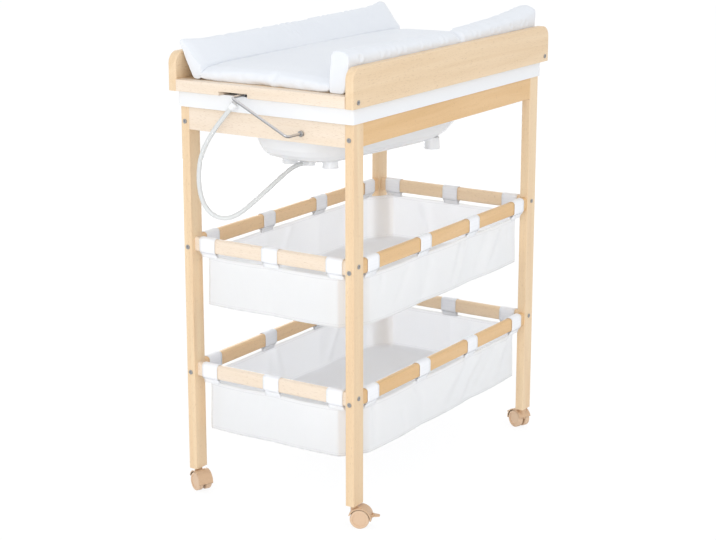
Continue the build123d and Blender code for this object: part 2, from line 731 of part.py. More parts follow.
# Casters: a hood with its web and neck, a steel stem, an axle and two wheels, and on two
# of them a brake lever between ears. Local X trails, local Y is the axle.
axle_level = wheel_diameter / 2
pocket_depth = wheel_gap + wheel_width
hood_width = caster_web + 2 * pocket_depth
pocket_radius = wheel_diameter / 2 + hood_gap
hood_radius = pocket_radius + hood_wall
neck_top = caster_height - socket_flange_thickness - swivel_clearance
lever_x = caster_trail + hood_radius + lever_barrel / 2
lever_level = axle_level + lever_rise
lever_ear_centre = lever_neck / 2 + lever_clearance + lever_ear / 2
lever_root = lever_barrel / 2 + lever_clearance
wheel_bore_half = hood_width / 2 - wheel_dish_depth - wheel_hub_wall
low_middle = (Align.CENTER, Align.CENTER, Align.MIN)
for place, (sx, sy) in corner_places.items():
    angle = math.radians(caster_angles[place])
    caster_plane = Plane(origin=(sx * leg_x, sy * leg_y, 0), x_dir=(math.cos(angle), math.sin(angle), 0),
                         z_dir=(0, 0, 1))
    has_lever = place in lever_casters
    with BuildPart(caster_plane) as hood:
        with Locations((caster_trail, 0, axle_level)):
            Cylinder(hood_radius, hood_width, rotation=(90, 0, 0))
        with Locations(Location((caster_trail, 0, axle_level), (0, hood_tilt, 0))):
            with Locations((0, 0, hood_rise)):
                Box(3 * hood_radius, 2 * hood_width, 3 * hood_radius,
                    align=(Align.CENTER, Align.CENTER, Align.MAX), mode=Mode.SUBTRACT)
        with Locations((caster_trail, 0, axle_level)):
            Cylinder(web_boss / 2, caster_web, rotation=(90, 0, 0))
        with Locations((0, 0, axle_level + hood_rise)):
            Cylinder(neck_diameter / 2, neck_top - axle_level - hood_rise, align=low_middle)
        if has_lever:
            for side in (-1, 1):
                with Locations((lever_x, side * lever_ear_centre, lever_level)):
                    Cylinder(lever_barrel / 2, lever_ear, rotation=(90, 0, 0))
                with Locations((lever_x, side * lever_ear_centre, lever_level)):
                    Box(lever_barrel + hood_wall, lever_ear, lever_barrel,
                        align=(Align.MAX, Align.CENTER, Align.CENTER))
                with Locations((lever_x, side * lever_ear_centre, lever_level)):
                    Cylinder((lever_pivot + shaft_clearance * 2) / 2, 2 * lever_ear, rotation=(90, 0, 0),
                             mode=Mode.SUBTRACT)
        for side in (-1, 1):
            with Locations((caster_trail, side * (caster_web + pocket_depth + overrun) / 2, axle_level)):
                Cylinder(pocket_radius, pocket_depth + overrun, rotation=(90, 0, 0), mode=Mode.SUBTRACT)
        with Locations((caster_trail, 0, axle_level)):
            Cylinder(axle_diameter / 2, 2 * caster_web, rotation=(90, 0, 0), mode=Mode.SUBTRACT)
        with Locations((0, 0, neck_top - neck_sink)):
            Cylinder(stem_diameter / 2, neck_sink + overrun, align=low_middle, mode=Mode.SUBTRACT)
    save(hood, "caster_hood_" + place)

    with BuildPart(caster_plane) as stem:
        with Locations((0, 0, neck_top - neck_sink)):
            Cylinder(stem_diameter / 2, caster_height + stem_length - neck_top + neck_sink, align=low_middle)
    save(stem, "caster_stem_" + place)

    with BuildPart(caster_plane) as axle:
        with Locations((caster_trail, 0, axle_level)):
            Cylinder(axle_diameter / 2, 2 * (wheel_bore_half - axle_end_gap), rotation=(90, 0, 0))
    save(axle, "caster_axle_" + place)

    with BuildPart(caster_plane) as wheels:
        for side in (-1, 1):
            with Locations((caster_trail, side * (caster_web / 2 + wheel_gap + wheel_width / 2), axle_level)):
                Cylinder(wheel_diameter / 2, wheel_width, rotation=(90, 0, 0))
        fillet(wheels.edges().filter_by(GeomType.CIRCLE), wheel_edge)
        for side in (-1, 1):
            with Locations((caster_trail, side * (hood_width - wheel_dish_depth) / 2, axle_level)):
                Cylinder(wheel_dish / 2, wheel_dish_depth, rotation=(90, 0, 0), mode=Mode.SUBTRACT)
        with Locations((caster_trail, 0, axle_level)):
            Cylinder(axle_diameter / 2 + shaft_clearance, 2 * wheel_bore_half, rotation=(90, 0, 0),
                     mode=Mode.SUBTRACT)
    save(wheels, "caster_wheels_" + place)

    if has_lever:
        with BuildPart(caster_plane) as lever:
            with Locations((lever_x, 0, lever_level)):
                Cylinder(lever_barrel / 2, lever_neck, rotation=(90, 0, 0))
                Cylinder(lever_pivot / 2, 2 * lever_ear_centre + lever_ear, rotation=(90, 0, 0))
                Box(lever_root + lever_thickness, lever_neck, lever_thickness,
                    align=(Align.MIN, Align.CENTER, Align.CENTER))
            with BuildSketch(caster_plane.offset(lever_level - lever_thickness / 2)):
                with BuildLine():
                    Polyline((lever_x + lever_root, -lever_width / 2), (lever_x + lever_root, lever_width / 2),
                             (lever_x + lever_length, lever_tip_width / 2),
                             (lever_x + lever_length, -lever_tip_width / 2), close=True)
                make_face()
            extrude(amount=lever_thickness)
            fillet(lever.edges().filter_by(Axis.Z).group_by(Axis.X)[-1], lever_tip_width * lever_tip_round_share)
        save(lever, "brake_lever_" + place)
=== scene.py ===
# %% [markdown]
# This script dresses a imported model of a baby's changing table with a bathtub. The real one is
# a beech frame on casters with two hanging cloth baskets, a plastic tub whose rim caps the
# frame, and a padded tray on top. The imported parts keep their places, and each step either
# gives them a finish or puts a softer, fuller piece in their place.

# %% Load the frame
import math

import bmesh
import bpy
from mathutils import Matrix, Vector


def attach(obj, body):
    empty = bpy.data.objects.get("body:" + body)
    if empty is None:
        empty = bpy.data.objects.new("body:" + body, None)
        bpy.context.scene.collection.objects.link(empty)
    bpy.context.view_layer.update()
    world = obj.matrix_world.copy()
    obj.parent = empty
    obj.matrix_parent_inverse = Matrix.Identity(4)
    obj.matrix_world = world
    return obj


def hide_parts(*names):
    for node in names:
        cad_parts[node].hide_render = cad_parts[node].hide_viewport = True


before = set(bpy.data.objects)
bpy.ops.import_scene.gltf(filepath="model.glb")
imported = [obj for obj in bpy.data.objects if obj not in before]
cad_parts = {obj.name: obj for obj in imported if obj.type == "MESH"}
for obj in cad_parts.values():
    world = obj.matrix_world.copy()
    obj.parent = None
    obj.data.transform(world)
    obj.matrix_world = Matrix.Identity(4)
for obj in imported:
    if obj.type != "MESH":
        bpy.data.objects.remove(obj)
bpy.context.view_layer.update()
scene = bpy.context.scene

# %% [markdown]
# The table was photographed from a little above the rim, from the left front corner, with a
# long lens. The camera comes first, because every later look is judged through it. A long
# lens keeps the legs nearly parallel, as a shop picture does.

# %% Camera
camera_data = bpy.data.cameras.new("camera")
camera = bpy.data.objects.new("camera", camera_data)
scene.collection.objects.link(camera)
camera_yaw = math.radians(33.01)
camera_pitch = math.radians(14.50)
camera.location = (-3.463, -2.222, 1.517)
ahead = Vector((math.cos(camera_yaw) * math.cos(camera_pitch),
                math.sin(camera_yaw) * math.cos(camera_pitch), -math.sin(camera_pitch)))
camera.rotation_euler = ahead.to_track_quat("-Z", "Y").to_euler()
camera_data.sensor_width = 36
camera_data.lens = 92.8
scene.camera = camera
print("camera to table", round(camera.location.length, 2), "m")

# %% [markdown]
# The floor and the air round the table are plain and pale. The world is white to the camera
# and in reflections, but lights the table more gently. The floor shows mostly white, and the
# rest of it is a plain diffuse surface, so the table still has a soft shadow to stand on. Every
# look in this script is wired from nodes, so two helpers for that come first.

# %% Helpers for nodes


def node(tree, kind, feeds=None, **values):
    """A node with some settings and socket values, and with what feeds its sockets."""
    made = tree.nodes.new(kind)
    for key, value in values.items():
        if hasattr(made, key):
            setattr(made, key, value)
        else:
            made.inputs[key.replace("_", " ")].default_value = value
    for key, source in (feeds or {}).items():
        if isinstance(source, bpy.types.NodeSocket):
            tree.links.new(source, made.inputs[key])
        else:
            made.inputs[key].default_value = source
    return made


def math_node(tree, operation, *terms):
    """The result of a Math node whose terms are sockets or numbers."""
    return node(tree, "ShaderNodeMath", dict(enumerate(terms)), operation=operation).outputs[0]


# %% World and floor
floor_glow_share = 0.86
scene.view_settings.view_transform = "Standard"
world = bpy.data.worlds.new("studio")
world.use_nodes = True
scene.world = world


def seen_directly(tree):
    """1 where the camera, a reflection or a clear material looks, and 0 for light."""
    rays = tree.nodes.new("ShaderNodeLightPath").outputs
    first = math_node(tree, "MAXIMUM", rays["Is Camera Ray"], rays["Is Glossy Ray"])
    return math_node(tree, "MAXIMUM", first, rays["Is Transmission Ray"])


tree = world.node_tree
tree.nodes.clear()
soft_light = node(tree, "ShaderNodeBackground", Color=(0.955, 0.975, 1.0, 1), Strength=0.975)
white_room = node(tree, "ShaderNodeBackground", Color=(1, 1, 1, 1), Strength=1.0)
choice = node(tree, "ShaderNodeMixShader",
              {"Fac": seen_directly(tree), 1: soft_light.outputs[0], 2: white_room.outputs[0]})
node(tree, "ShaderNodeOutputWorld", {"Surface": choice.outputs[0]})

bpy.ops.object.select_all(action="DESELECT")
bpy.ops.mesh.primitive_plane_add(size=60, location=(0, 0, 0))
floor = bpy.context.object
floor.name = "floor"
floor_material = bpy.data.materials.new("floor")
floor_material.use_nodes = True
tree = floor_material.node_tree
tree.nodes.clear()
matte = node(tree, "ShaderNodeBsdfDiffuse", Color=(0.9, 0.9, 0.9, 1))
glow = node(tree, "ShaderNodeEmission", Color=(1, 1, 1, 1), Strength=1.04)
share = math_node(tree, "MULTIPLY", seen_directly(tree), floor_glow_share)
choice = node(tree, "ShaderNodeMixShader", {"Fac": share, 1: matte.outputs[0], 2: glow.outputs[0]})
node(tree, "ShaderNodeOutputMaterial", {"Surface": choice.outputs[0]})
floor.data.materials.append(floor_material)

# %% [markdown]
# A large soft lamp to the left makes the faces of the left end the brightest, and rakes along
# the front, so that the folds of the baskets show. A weaker one in front keeps the long side
# readable. One behind shines through the thin cloth of the baskets, as the bright back wall of
# a shop studio does. Large lamps give soft shadows.

# %% Lamps


def add_lamp(name, place, aim, size, power):
    """A square area lamp that looks at a point."""
    data = bpy.data.lights.new(name, "AREA")
    data.shape = "SQUARE"
    data.size = size
    data.energy = power
    lamp = bpy.data.objects.new(name, data)
    lamp.location = place
    lamp.rotation_euler = (Vector(aim) - Vector(place)).to_track_quat("-Z", "Y").to_euler()
    scene.collection.objects.link(lamp)


add_lamp("key", place=(-3.5, -1.4, 1.3), aim=(0, 0, 0.6), size=2.0, power=33)
add_lamp("fill", place=(0.8, -3.6, 2.4), aim=(0, 0, 0.6), size=2.4, power=4)
add_lamp("back", place=(2.8, 2.4, 0.6), aim=(0, 0, 0.4), size=1.2, power=36)

# %% [markdown]
# Several finishes share the same small effects: beech grain, a cloth weave, lines of stitches
# and faint mottling. Each effect is built once as a node group with named inputs and outputs,
# and each material places it with its own values.

# %% Helpers for node groups


def new_group(name, inputs, outputs):
    """An empty node group with named sockets, given as (name, kind, default)."""
    group = bpy.data.node_groups.new(name, "ShaderNodeTree")
    for label, kind, default in inputs:
        socket = group.interface.new_socket(name=label, in_out="INPUT", socket_type=kind)
        if default is not None:
            socket.default_value = default
    for label, kind in outputs:
        group.interface.new_socket(name=label, in_out="OUTPUT", socket_type=kind)
    return group, group.nodes.new("NodeGroupInput"), group.nodes.new("NodeGroupOutput")


def ramp(tree, source, stops):
    """The colour from a ramp fed by a number, with (place, colour) stops."""
    made = node(tree, "ShaderNodeValToRGB", {"Fac": source})
    elements = made.color_ramp.elements
    while len(elements) < len(stops):
        elements.new(0.5)
    for element, (place, colour) in zip(elements, stops):
        element.position = place
        element.color = (*colour, 1)
    return made.outputs["Color"]


def mix(tree, share, first, second, blend="MIX"):
    """The colour from a Mix node, by a share and two colours."""
    return node(tree, "ShaderNodeMix", {0: share, 6: first, 7: second},
                data_type="RGBA", blend_type=blend).outputs[2]


# %% [markdown]
# Beech is a pale, even wood. Its long grain shows as faint warm bands, and short dark flecks,
# a few millimetres long, run along it. Stretching a noise along one axis makes both. The grain
# group always runs along Z, and each material turns its coordinates so that Z lies along the
# piece.

# %% Beech grain group
fleck_strength, fleck_sink = 0.35, -0.6
fleck_brown = (0.46, 0.28, 0.15, 1)
grain_group, grain_in, grain_out = new_group(
    "beech grain",
    [("Vector", "NodeSocketVector", None), ("Light", "NodeSocketColor", (0.9, 0.75, 0.55, 1)),
     ("Dark", "NodeSocketColor", (0.75, 0.56, 0.36, 1))],
    [("Color", "NodeSocketColor"), ("Roughness", "NodeSocketFloat"),
     ("Height", "NodeSocketFloat")])
links = grain_group.links
long_way = node(grain_group, "ShaderNodeMapping", {"Vector": grain_in.outputs["Vector"]},
                Scale=(42, 42, 2.2))
bands = node(grain_group, "ShaderNodeTexNoise", {"Vector": long_way.outputs[0]},
             Scale=1.0, Detail=5.0, Roughness=0.6, Distortion=0.6).outputs["Fac"]
fleck_way = node(grain_group, "ShaderNodeMapping", {"Vector": grain_in.outputs["Vector"]},
                 Scale=(900, 900, 110))
flecks = node(grain_group, "ShaderNodeTexNoise", {"Vector": fleck_way.outputs[0]},
              Scale=1.0, Detail=1.0, Roughness=0.5).outputs["Fac"]
band_mask = ramp(grain_group, bands, [(0.34, (0, 0, 0)), (0.68, (1, 1, 1))])
fleck_mask = ramp(grain_group, flecks, [(0.62, (0, 0, 0)), (0.72, (1, 1, 1))])
tone = mix(grain_group, band_mask, grain_in.outputs["Light"], grain_in.outputs["Dark"])
fleck_share = math_node(grain_group, "MULTIPLY", fleck_mask, fleck_strength)
links.new(mix(grain_group, fleck_share, tone, fleck_brown), grain_out.inputs["Color"])

# %% Gloss and height of the grain
gloss = node(grain_group, "ShaderNodeMapRange", {"Value": bands, "To Min": 0.42, "To Max": 0.56})
links.new(gloss.outputs[0], grain_out.inputs["Roughness"])
height = math_node(grain_group, "MULTIPLY_ADD", fleck_mask, fleck_sink, bands)
links.new(height, grain_out.inputs["Height"])
print("grain group nodes", len(grain_group.nodes))

# %% [markdown]
# Each piece of beech has its grain along its length, so the material is made once for each
# direction. A real table also mixes boards of slightly different tone. Here the legs and side
# boards are honey coloured and the long aprons and front rails are a little redder. The pieces
# across the ends are the palest, partly their own tone and partly painted light, because the
# faces they show take the most light from the left lamp. The rails at the back and at the far
# end are painted brighter and warmer than their neighbours: painted light that makes up for
# the face they show, which gets less light.

# %% Helpers for materials


def principled(name):
    """A new material, its tree and its Principled shader."""
    material = bpy.data.materials.new(name)
    material.use_nodes = True
    return material, material.node_tree, material.node_tree.nodes["Principled BSDF"]


def place_bump(tree, shader, height, strength, distance):
    """A Bump node from a height to the shader's normal."""
    bump = node(tree, "ShaderNodeBump", {"Height": height}, Strength=strength, Distance=distance)
    tree.links.new(bump.outputs["Normal"], shader.inputs["Normal"])


# %% Wood materials
grain_start = (0.37, 0.11, 0.53)
quarter = math.pi / 2
upright, lengthwise, crosswise = (0, 0, 0), (0, quarter, 0), (quarter, 0, 0)


def beech(name, turn, light, dark):
    """Lacquered beech whose grain runs along the axis that the turn brings to Z."""
    material, tree, shader = principled(name)
    place = tree.nodes.new("ShaderNodeTexCoord")
    turned = node(tree, "ShaderNodeMapping", {"Vector": place.outputs["Object"]},
                  Rotation=turn, Location=grain_start)
    grain = node(tree, "ShaderNodeGroup", {
        "Vector": turned.outputs[0], "Light": (*light, 1), "Dark": (*dark, 1)}, node_tree=grain_group)
    tree.links.new(grain.outputs["Color"], shader.inputs["Base Color"])
    tree.links.new(grain.outputs["Roughness"], shader.inputs["Roughness"])
    shader.inputs["Coat Weight"].default_value = 0.15
    shader.inputs["Coat Roughness"].default_value = 0.35
    place_bump(tree, shader, grain.outputs["Height"], strength=0.25, distance=0.0004)
    return material


beech_upright = beech("beech upright", upright, (0.85, 0.65, 0.42), (0.79, 0.56, 0.34))
beech_board = beech("beech board", lengthwise, (0.85, 0.65, 0.43), (0.79, 0.58, 0.36))
beech_rail = beech("beech rail", lengthwise, (0.80, 0.53, 0.27), (0.73, 0.46, 0.21))
# The palest tone is partly the wood's own and partly painted light for the lit faces of the ends.
beech_across = beech("beech across", crosswise, (0.88, 0.75, 0.615), (0.83, 0.685, 0.53))
# Painted light: the far-end and back rails are brighter and warmer, for faces that get less light.
beech_far_painted_light = beech("beech far painted light", crosswise, (0.93, 0.72, 0.50), (0.88, 0.66, 0.43))
beech_back_painted_light = beech("beech back painted light", lengthwise, (0.90, 0.63, 0.37), (0.84, 0.56, 0.30))


def finish(name, material):
    """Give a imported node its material."""
    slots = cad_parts[name].data.materials
    slots.clear()
    slots.append(material)


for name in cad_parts:
    if name.startswith("leg_"):
        finish(name, beech_upright)
    elif name.startswith(("side_board", "tray_panel")):
        finish(name, beech_board)
    elif name.startswith("long_apron") or name.endswith("rail_front"):
        finish(name, beech_rail)
    elif name.endswith("rail_back"):
        finish(name, beech_back_painted_light)
    elif name.endswith("rail_right"):
        finish(name, beech_far_painted_light)
    elif name.startswith(("end_apron", "tray_end")) or name.endswith("rail_left"):
        finish(name, beech_across)

# %% [markdown]
# The small metal and plastic parts need finishes too. Zinc screws are dull and slightly
# mottled, the stays are bright wire, and the casters are beige moulded plastic with a fine
# grain that breaks up the highlights. In an all-white room, small metal parts mirror white from
# every side and look flat, and so does the hollow under the hood of a caster. A ramp on the
# normal paints shade into these finishes where they face down: a painted dark reflection on
# the zinc parts and the wire, and painted shade in the hollow under the hood.

# %% Mottling group
mottle_group, mottle_in, mottle_out = new_group(
    "mottle",
    [("Vector", "NodeSocketVector", None), ("Scale", "NodeSocketFloat", 60.0),
     ("First", "NodeSocketColor", (0.8, 0.8, 0.8, 1)),
     ("Second", "NodeSocketColor", (0.7, 0.7, 0.7, 1)),
     ("Smooth", "NodeSocketFloat", 0.3), ("Rough", "NodeSocketFloat", 0.5)],
    [("Color", "NodeSocketColor"), ("Roughness", "NodeSocketFloat"),
     ("Height", "NodeSocketFloat")])
links = mottle_group.links
clouds = node(mottle_group, "ShaderNodeTexNoise", {
    "Vector": mottle_in.outputs["Vector"], "Scale": mottle_in.outputs["Scale"]},
    Detail=4.0, Roughness=0.62).outputs["Fac"]
blend = mix(mottle_group, clouds, mottle_in.outputs["First"], mottle_in.outputs["Second"])
gloss = node(mottle_group, "ShaderNodeMapRange", {
    "Value": clouds, "To Min": mottle_in.outputs["Smooth"], "To Max": mottle_in.outputs["Rough"]})
links.new(blend, mottle_out.inputs["Color"])
links.new(gloss.outputs[0], mottle_out.inputs["Roughness"])
links.new(clouds, mottle_out.inputs["Height"])

# %% Metal and plastic materials


def mottling(tree, place, first, second, scale, smooth, rough):
    """The mottling group with its values, laid by the piece's own coordinates."""
    return node(tree, "ShaderNodeGroup", {
        "Vector": place.outputs["Object"], "Scale": scale, "First": (*first, 1),
        "Second": (*second, 1), "Smooth": smooth, "Rough": rough}, node_tree=mottle_group)


def mottled(name, first, second, scale, smooth, rough, bump=0.1, distance=0.0002):
    """A moulded or plated finish with faint mottling in colour, gloss and height."""
    material, tree, shader = principled(name)
    place = tree.nodes.new("ShaderNodeTexCoord")
    spots = mottling(tree, place, first, second, scale, smooth, rough)
    tree.links.new(spots.outputs["Color"], shader.inputs["Base Color"])
    tree.links.new(spots.outputs["Roughness"], shader.inputs["Roughness"])
    place_bump(tree, shader, spots.outputs["Height"], bump, distance)
    return material, shader


def paint_shade_below(material, shader, stops):
    """Paint shade into a finish where it faces down, by (place, brightness) stops from down to up."""
    tree = material.node_tree
    facing = tree.nodes.new("ShaderNodeTexCoord")
    axes = node(tree, "ShaderNodeSeparateXYZ", {0: facing.outputs["Normal"]})
    upward = node(tree, "ShaderNodeMapRange", {
        "Value": axes.outputs["Z"], "From Min": -0.8, "From Max": 0.7})
    # Painted shade: greys from dark facing down to full brightness facing up, multiplied into the
    # colour.
    painted_shade_greys = ramp(tree, upward.outputs[0], [(place, (grey,) * 3) for place, grey in stops])
    plain = shader.inputs["Base Color"].links[0].from_socket
    tree.links.new(mix(tree, 1.0, plain, painted_shade_greys, "MULTIPLY"), shader.inputs["Base Color"])


def glow_inside(shader, weight, radius, scale):
    """Let light travel under the surface, by its share and by how far each colour goes."""
    shader.inputs["Subsurface Weight"].default_value = weight
    shader.inputs["Subsurface Radius"].default_value = radius
    shader.inputs["Subsurface Scale"].default_value = scale


# %% Screws and stays
zinc, shader = mottled("zinc", (0.70, 0.70, 0.71), (0.44, 0.44, 0.45),
                       scale=700, smooth=0.28, rough=0.50)
shader.inputs["Metallic"].default_value = 1.0
# Painted dark reflection and painted shade on the zinc where it faces down.
paint_shade_below(zinc, shader, [(0.0, 0.45), (0.55, 0.7), (1.0, 1.0)])
wire, shader = mottled("bright wire", (0.74, 0.74, 0.76), (0.62, 0.62, 0.64),
                       scale=300, smooth=0.14, rough=0.28)
shader.inputs["Metallic"].default_value = 1.0
# Painted dark reflection along the underside of the wire.
paint_shade_below(wire, shader, [(0.0, 0.16), (0.55, 0.7), (1.0, 1.0)])

# %% Casters, stay caps and tub
caster_hood, shader = mottled("caster hood", (0.69, 0.465, 0.29), (0.60, 0.395, 0.24),
                              scale=260, smooth=0.36, rough=0.5, bump=0.3)
# Painted shade in the hollow under the hood, where its faces look down.
paint_shade_below(caster_hood, shader, [(0.0, 0.10), (0.40, 0.12), (0.52, 1.0)])
caster_wheel, shader = mottled("caster wheel", (0.76, 0.54, 0.365), (0.69, 0.48, 0.315),
                               scale=260, smooth=0.36, rough=0.5, bump=0.15)
knob_dark, shader = mottled("dark plastic", (0.16, 0.14, 0.13), (0.11, 0.10, 0.10),
                            scale=400, smooth=0.4, rough=0.6)
tub_white, shader = mottled("tub plastic", (0.87, 0.88, 0.89), (0.85, 0.86, 0.88),
                            scale=9, smooth=0.22, rough=0.30, bump=0.02, distance=0.0003)
glow_inside(shader, weight=0.12, radius=(1, 1, 1.1), scale=0.002)

# %% Give the small parts their finishes
zinc_nodes = ("frame_screws", "tray_screws", "caster_stem", "caster_axle", "caster_sockets",
              "stay_saddles", "pivot_bushes")
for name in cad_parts:
    if name.startswith(zinc_nodes):
        finish(name, zinc)
    elif name.startswith("stay_rod"):
        finish(name, wire)
    elif name.startswith(("caster_hood", "brake_lever")):
        finish(name, caster_hood)
    elif name.startswith("caster_wheels"):
        finish(name, caster_wheel)
    elif name == "stay_caps":
        finish(name, knob_dark)
    elif name.startswith(("bathtub", "drain_fitting", "drain_plug", "hose_clip")):
        finish(name, tub_white)

# %% [markdown]
# The drain hose is a soft, milky plastic tube. It leaves the outlet under the tub, hangs in a
# loop and comes up to a clip on the rim. Its middle line is a NURBS spline through the same
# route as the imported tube, so it bends as one smooth curve.

# %% Drain hose
hose_route = [
    (-0.266, 0.0, 0.746), (-0.298, 0.0, 0.746), (-0.346, 0.013, 0.717), (-0.392, 0.040, 0.677),
    (-0.414, 0.057, 0.657), (-0.428, 0.079, 0.646), (-0.438, 0.105, 0.650), (-0.444, 0.125, 0.669),
    (-0.446, 0.136, 0.699), (-0.446, 0.139, 0.738), (-0.443, 0.133, 0.782), (-0.435, 0.112, 0.825),
    (-0.425, 0.086, 0.862), (-0.414, 0.063, 0.893),
]
hose_radius = 0.005
hose_data = bpy.data.curves.new("hose", "CURVE")
hose_data.dimensions = "3D"
spline = hose_data.splines.new("NURBS")
spline.points.add(len(hose_route) - 1)
for point, place in zip(spline.points, hose_route):
    point.co = (*place, 1)
spline.order_u = 3
spline.use_endpoint_u = True
spline.resolution_u = 16
hose_data.bevel_depth = hose_radius
hose_data.bevel_resolution = 6
hose_data.use_fill_caps = True
hose = bpy.data.objects.new("hose", hose_data)
scene.collection.objects.link(hose)
hose_length = sum((Vector(b) - Vector(a)).length for a, b in zip(hose_route, hose_route[1:]))
print("hose route from point to point", round(hose_length, 3), "m")

# %% Hose material
hose_milk, shader = mottled("hose", (0.76, 0.77, 0.76), (0.74, 0.75, 0.74),
                            scale=40, smooth=0.26, rough=0.32, bump=0.02)
shader.inputs["Transmission Weight"].default_value = 0.10
glow_inside(shader, weight=0.3, radius=(1, 1, 1), scale=0.003)
hose_data.materials.append(hose_milk)
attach(hose, "frame")
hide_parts("drain_hose")

# %% [markdown]
# The baskets are plain white cloth. Each hangs by sewn loops from four rails, so its top edge
# is straight between the loops, its corners are cut across, and its floor sags. Cloth of this
# kind has a fine plain weave and faint mottling. The weave follows the surface, so it reads
# the piece's own UV map, laid out in metres. Lines of stitches run along the hem and above the
# floor seam.

# %% Weave group
weave_group, weave_in, weave_out = new_group(
    "plain weave",
    [("Vector", "NodeSocketVector", None), ("Threads per metre", "NodeSocketFloat", 900.0)],
    [("Height", "NodeSocketFloat"), ("Mask", "NodeSocketFloat")])
links = weave_group.links
axes = node(weave_group, "ShaderNodeSeparateXYZ", {0: weave_in.outputs["Vector"]})
threads_per_metre = weave_in.outputs["Threads per metre"]
waves = []
for axis in ("X", "Y"):
    turns = math_node(weave_group, "MULTIPLY", axes.outputs[axis], threads_per_metre)
    angle = math_node(weave_group, "MULTIPLY", turns, math.pi)
    waves.append(math_node(weave_group, "SINE", angle))
product = math_node(weave_group, "MULTIPLY", *waves)
links.new(product, weave_out.inputs["Height"])
links.new(math_node(weave_group, "ABSOLUTE", product), weave_out.inputs["Mask"])

# %% Stitch group
stitch_half_width, stitch_pitch, stitch_gap = 0.0006, 0.002, 0.0005
stitch_group, stitch_in, stitch_out = new_group(
    "stitch line", [("Vector", "NodeSocketVector", None), ("Place", "NodeSocketFloat", 0.008)],
    [("Mask", "NodeSocketFloat")])
links = stitch_group.links
axes = node(stitch_group, "ShaderNodeSeparateXYZ", {0: stitch_in.outputs["Vector"]})
near_line = math_node(stitch_group, "COMPARE", axes.outputs["Y"], stitch_in.outputs["Place"],
                      stitch_half_width)
spacing = math_node(stitch_group, "PINGPONG", axes.outputs["X"], stitch_pitch)
dashes = math_node(stitch_group, "GREATER_THAN", spacing, stitch_gap)
links.new(math_node(stitch_group, "MULTIPLY", near_line, dashes), stitch_out.inputs["Mask"])

# %% Cloth materials
cloth_mottling = 11.0
rough_more = 0.12
# Painted shade in the gaps between threads: its share and its colour.
gap_shade_share = 0.6
gap_painted_shade = (0.93, 0.93, 0.94, 1)
stitch_colour = (0.86, 0.86, 0.87, 1)
stitch_sink = -2.0


def cloth(name, first, second, threads, rough, bump, stitch_places, thin):
    """Thin woven cloth: mottled colour, a weave from the UV map with painted shade between its threads,
    stitch lines and a soft sheen.
    """
    material, tree, shader = principled(name)
    place = tree.nodes.new("ShaderNodeTexCoord")
    spots = mottling(tree, place, first, second, cloth_mottling, rough, rough + rough_more)
    weave = node(tree, "ShaderNodeGroup", {
        "Vector": place.outputs["UV"], "Threads per metre": threads}, node_tree=weave_group)
    # Painted shade: darker where the weave mask is low, in the gaps between the threads.
    between = math_node(tree, "MULTIPLY_ADD", weave.outputs["Mask"], -gap_shade_share, gap_shade_share)
    colour = mix(tree, between, spots.outputs["Color"], gap_painted_shade, "MULTIPLY")
    height = weave.outputs["Height"]
    for stitch_place in stitch_places:
        line = node(tree, "ShaderNodeGroup", {"Vector": place.outputs["UV"], "Place": stitch_place},
                    node_tree=stitch_group)
        colour = mix(tree, line.outputs["Mask"], colour, stitch_colour, "MULTIPLY")
        height = math_node(tree, "MULTIPLY_ADD", line.outputs["Mask"], stitch_sink, height)
    tree.links.new(colour, shader.inputs["Base Color"])
    tree.links.new(spots.outputs["Roughness"], shader.inputs["Roughness"])
    shader.inputs["Sheen Weight"].default_value = 0.1
    shader.inputs["Sheen Roughness"].default_value = 0.5
    glow_inside(shader, weight=thin, radius=(1, 1, 1.05), scale=0.006)
    place_bump(tree, shader, height, strength=bump, distance=0.0002)
    return material


hem_line, floor_line = 0.008, 0.104
basket_cloth = cloth("basket cloth", (0.97, 0.98, 1.0), (0.955, 0.966, 0.992),
                     threads=900, rough=0.7, bump=0.35, stitch_places=(hem_line, floor_line), thin=0.86)
strap_cloth = cloth("strap cloth", (0.96, 0.965, 0.985), (0.945, 0.95, 0.97),
                    threads=700, rough=0.65, bump=0.4, stitch_places=(), thin=0.05)

# %% [markdown]
# The wall is one curved sheet, built as a grid: columns run round the basket and rows run down
# it. Its top outline goes from loop to loop in straight bays, cuts across the corners, and each
# bay bulges a little. The folds are slanting ridges and valleys that start near the loops,
# because the loops pull the cloth up there. Each is a short line on the wall, given by two
# places, as the distance round the basket from the first loop of the front wall and the
# distance down from the top edge, then its half width and its height. The floor is the same
# sheet drawn in towards the middle, and it sags.

# %% Outline of a basket
leg_x, leg_y = 0.379, 0.2095
long_straps = [-0.3195, -0.1065, 0.1065, 0.3195]
end_straps = [-0.165, 0.0, 0.165]
end_places = [-0.168, 0.0, 0.168]
basket_corners = [(x, -leg_y) for x in long_straps]
basket_corners += [(leg_x, y) for y in end_places]
basket_corners += [(x, leg_y) for x in reversed(long_straps)]
basket_corners += [(-leg_x, y) for y in reversed(end_places)]


def smooth_step(value):
    """Runs smoothly from 0 to 1."""
    value = min(1.0, max(0.0, value))
    return value * value * (3 - 2 * value)


def outline_point(bay, share):
    """A point of the top outline, the way out there, if it is a cut corner, and the bay's length."""
    start = Vector(basket_corners[bay])
    end = Vector(basket_corners[(bay + 1) % len(basket_corners)])
    chord = end - start
    outward = Vector((chord.y, -chord.x)).normalized()
    is_cut = start.x != end.x and start.y != end.y
    return start.lerp(end, share), outward, is_cut, chord.length


